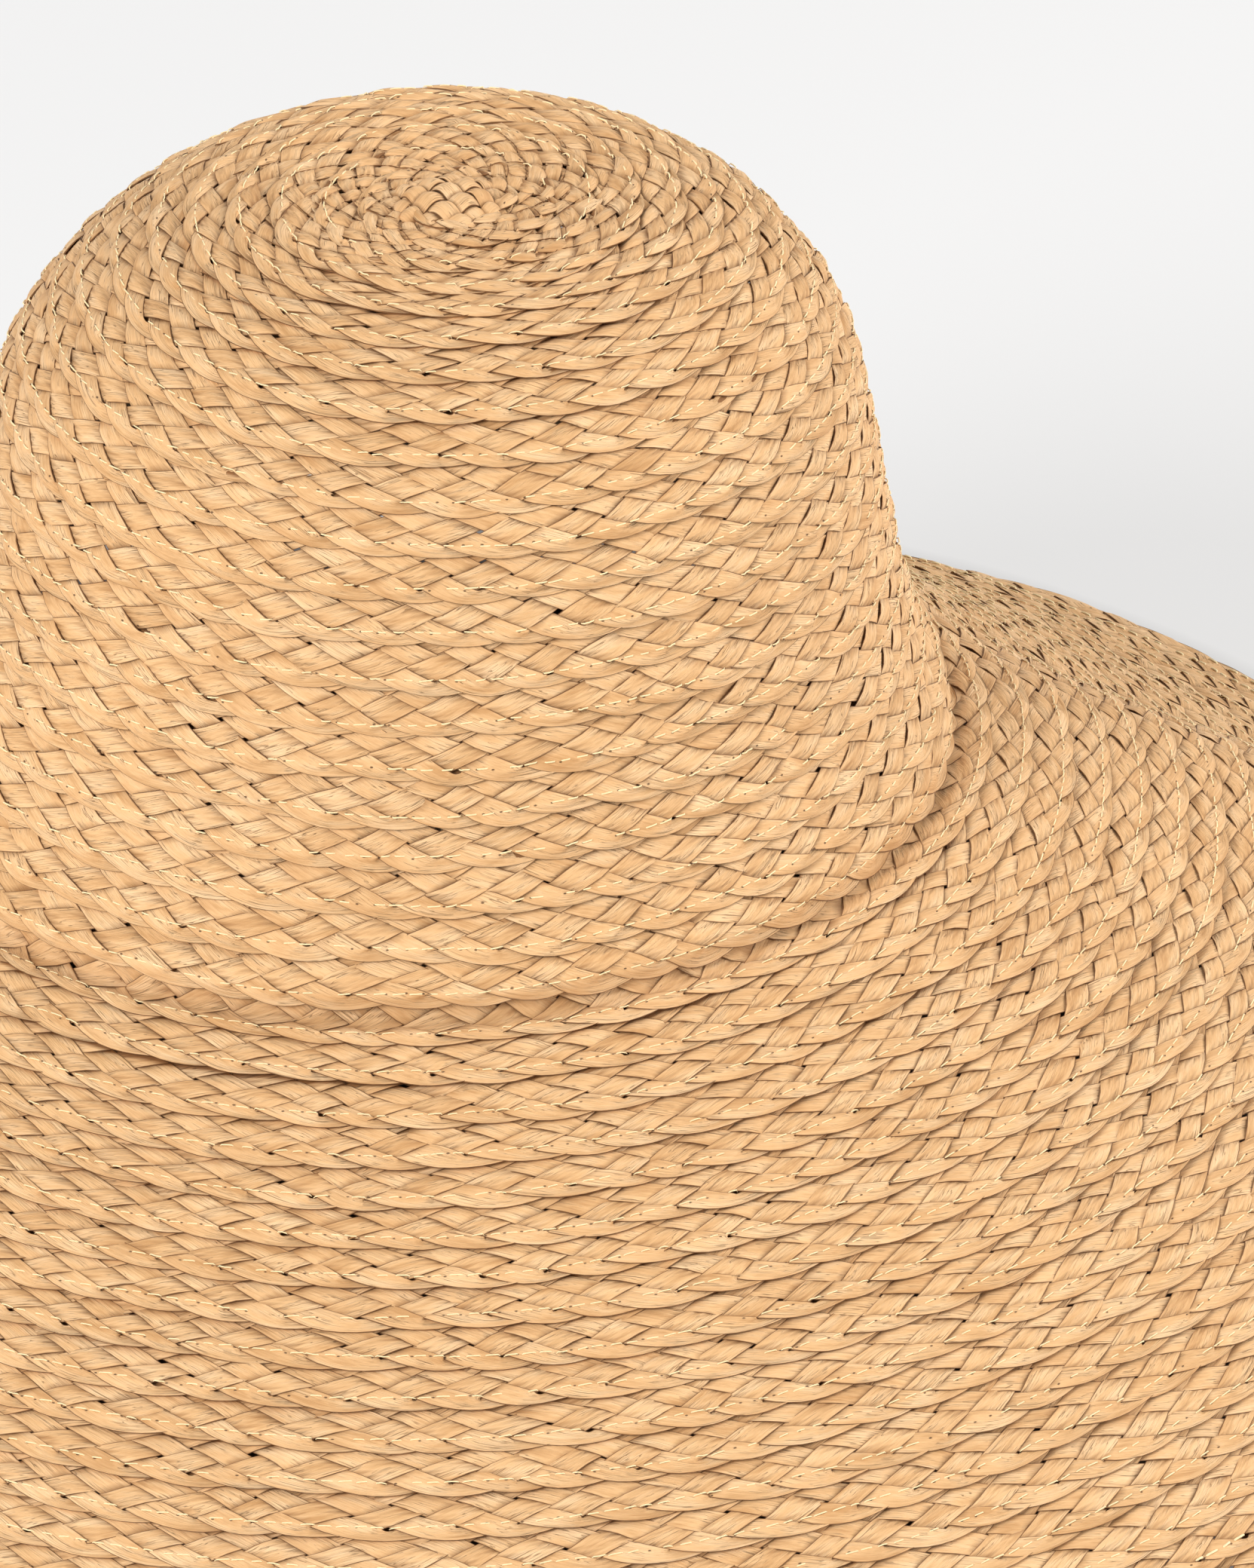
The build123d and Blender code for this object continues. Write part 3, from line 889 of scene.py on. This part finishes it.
def soft_light(name, place_at, size, power, colour):
    """A round area light that faces the hat."""
    data = bpy.data.lights.new(name, "AREA")
    data.shape, data.size, data.energy, data.color = "DISK", size, power, colour
    lamp = bpy.data.objects.new(name, data)
    lamp.location = place_at
    lamp.rotation_euler = (Vector(place_at) * -1).to_track_quat("-Z", "Y").to_euler()
    bpy.context.scene.collection.objects.link(lamp)


def studio():
    for light in LIGHTS:
        soft_light(*light)
    world = bpy.data.worlds.new("studio")
    world.use_nodes = True
    background = world.node_tree.nodes["Background"]
    background.inputs["Color"].default_value = (1.0, 1.0, 1.0, 1)
    background.inputs["Strength"].default_value = AMBIENT
    bpy.context.scene.world = world
    bpy.context.scene.view_settings.view_transform = "Standard"
    mesh = bpy.data.meshes.new("floor")
    ways = ((-1, -1), (1, -1), (1, 1), (-1, 1))
    level = cad_low.z - FLOOR_GAP
    corners = [(FLOOR_REACH * x, FLOOR_REACH * y, level) for x, y in ways]
    mesh.from_pydata(corners, [], [(0, 1, 2, 3)])
    mesh.materials.append(floor_material())
    floor = bpy.data.objects.new("floor", mesh)
    bpy.context.scene.collection.objects.link(floor)


def hat():
    straw, thread, ribbed = straw_material(), thread_material(), ribbon_material()
    strands = [strand(number) for number in range(STRANDS)]
    marks = np.interp(np.arange(CROWN_TURNS + BRIM_TURNS + 1), TURNS, ALONG)
    for turn in range(CROWN_TURNS + BRIM_TURNS):
        on_crown = turn < CROWN_TURNS
        number = turn + 1 if on_crown else turn + 1 - CROWN_TURNS
        part = "crown" if on_crown else "brim"
        name, node = f"{part}_plait_{number:02d}", f"{part}_turn_{number:02d}"
        plait_piece(name, node, marks[turn], marks[turn + 1], strands, straw)
    tip_button(straw)
    halfway = CROWN_TURNS + INNER_BRIM_TURNS
    rim = CROWN_TURNS + BRIM_TURNS - HEAVY_STITCH_TURNS
    tail = CROWN_TURNS + BRIM_TURNS - TAIL_SWEEP / 360
    stitches("crown_stitches", "crown_thread", FIRST_STITCHED_TURN, CROWN_TURNS, thread)
    stitches("brim_stitches_inner", "brim_thread", CROWN_TURNS, halfway, thread)
    stitches("brim_stitches_outer", "brim_thread", halfway, rim, thread)
    stitches("brim_stitches_rim", "brim_thread", rim, tail, thread, HEAVY_STITCH_RADIUS)

    end = SPIRAL_START + 360 - BAND_END_GAP / 2
    start = SPIRAL_START + BAND_END_GAP / 2
    where = ("ribbon_sweatband", "sweatband", BAND_ARCS, BAND_LIFT, BAND_THICKNESS)
    band = ribbon(*where, start, end, ribbed)
    arcs = (BAND_ARCS[0] + TAPE_MARGIN, BAND_ARCS[1] - TAPE_MARGIN)
    lift = BAND_LIFT - BAND_THICKNESS - TAPE_GAP
    sweep = (SPIRAL_START - TAPE_SWEEP / 2, SPIRAL_START + TAPE_SWEEP / 2)
    tape = ribbon("ribbon_tape", "sweatband_tape", arcs, lift, TAPE_THICKNESS, *sweep, ribbed)
    band_stitches(thread)


camera()
studio()
hat()
